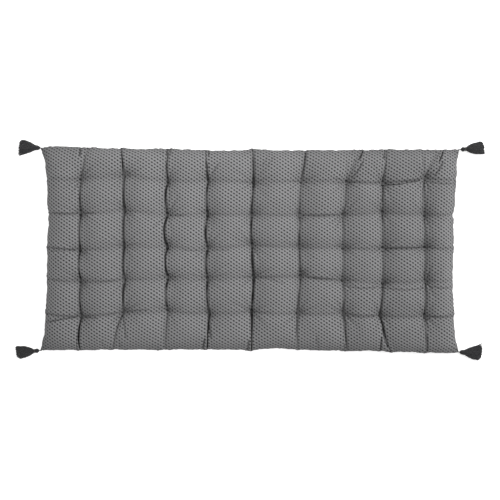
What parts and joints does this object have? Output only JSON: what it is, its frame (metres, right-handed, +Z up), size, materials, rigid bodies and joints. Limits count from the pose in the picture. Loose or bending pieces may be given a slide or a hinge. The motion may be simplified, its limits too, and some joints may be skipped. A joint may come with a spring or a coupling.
{
  "type": "floor mattress",
  "caption": "Tufted floor mattress: a filled, knife-edged cotton cover with rows of tufts and a yarn tassel on each corner, for lying or sitting on.",
  "frame": {"origin": "on the floor, under the middle of the mattress and its tassels", "axes": "+X along the length, +Y across the width, +Z up from the floor"},
  "size_m": [2.0844, 0.9758, 0.077],
  "materials": {
    "cover_cloth": "matt mid-grey patterned cotton",
    "tassel_yarn": "matt charcoal cotton yarn",
    "binding_thread": "charcoal cotton thread, tightly wound"
  },
  "bodies": {
    "root": {"mattress": "cover_cloth", "tassel_cord_far_left": "tassel_yarn", "tassel_cord_near_left": "tassel_yarn", "tassel_cord_far_right": "tassel_yarn", "tassel_cord_near_right": "tassel_yarn", "tassel_yarn_far_left": "tassel_yarn", "tassel_yarn_near_left": "tassel_yarn", "tassel_yarn_far_right": "tassel_yarn", "tassel_yarn_near_right": "tassel_yarn", "tassel_binding_far_left": "binding_thread", "tassel_binding_near_left": "binding_thread", "tassel_binding_far_right": "binding_thread", "tassel_binding_near_right": "binding_thread"}
  },
  "joints": []
}
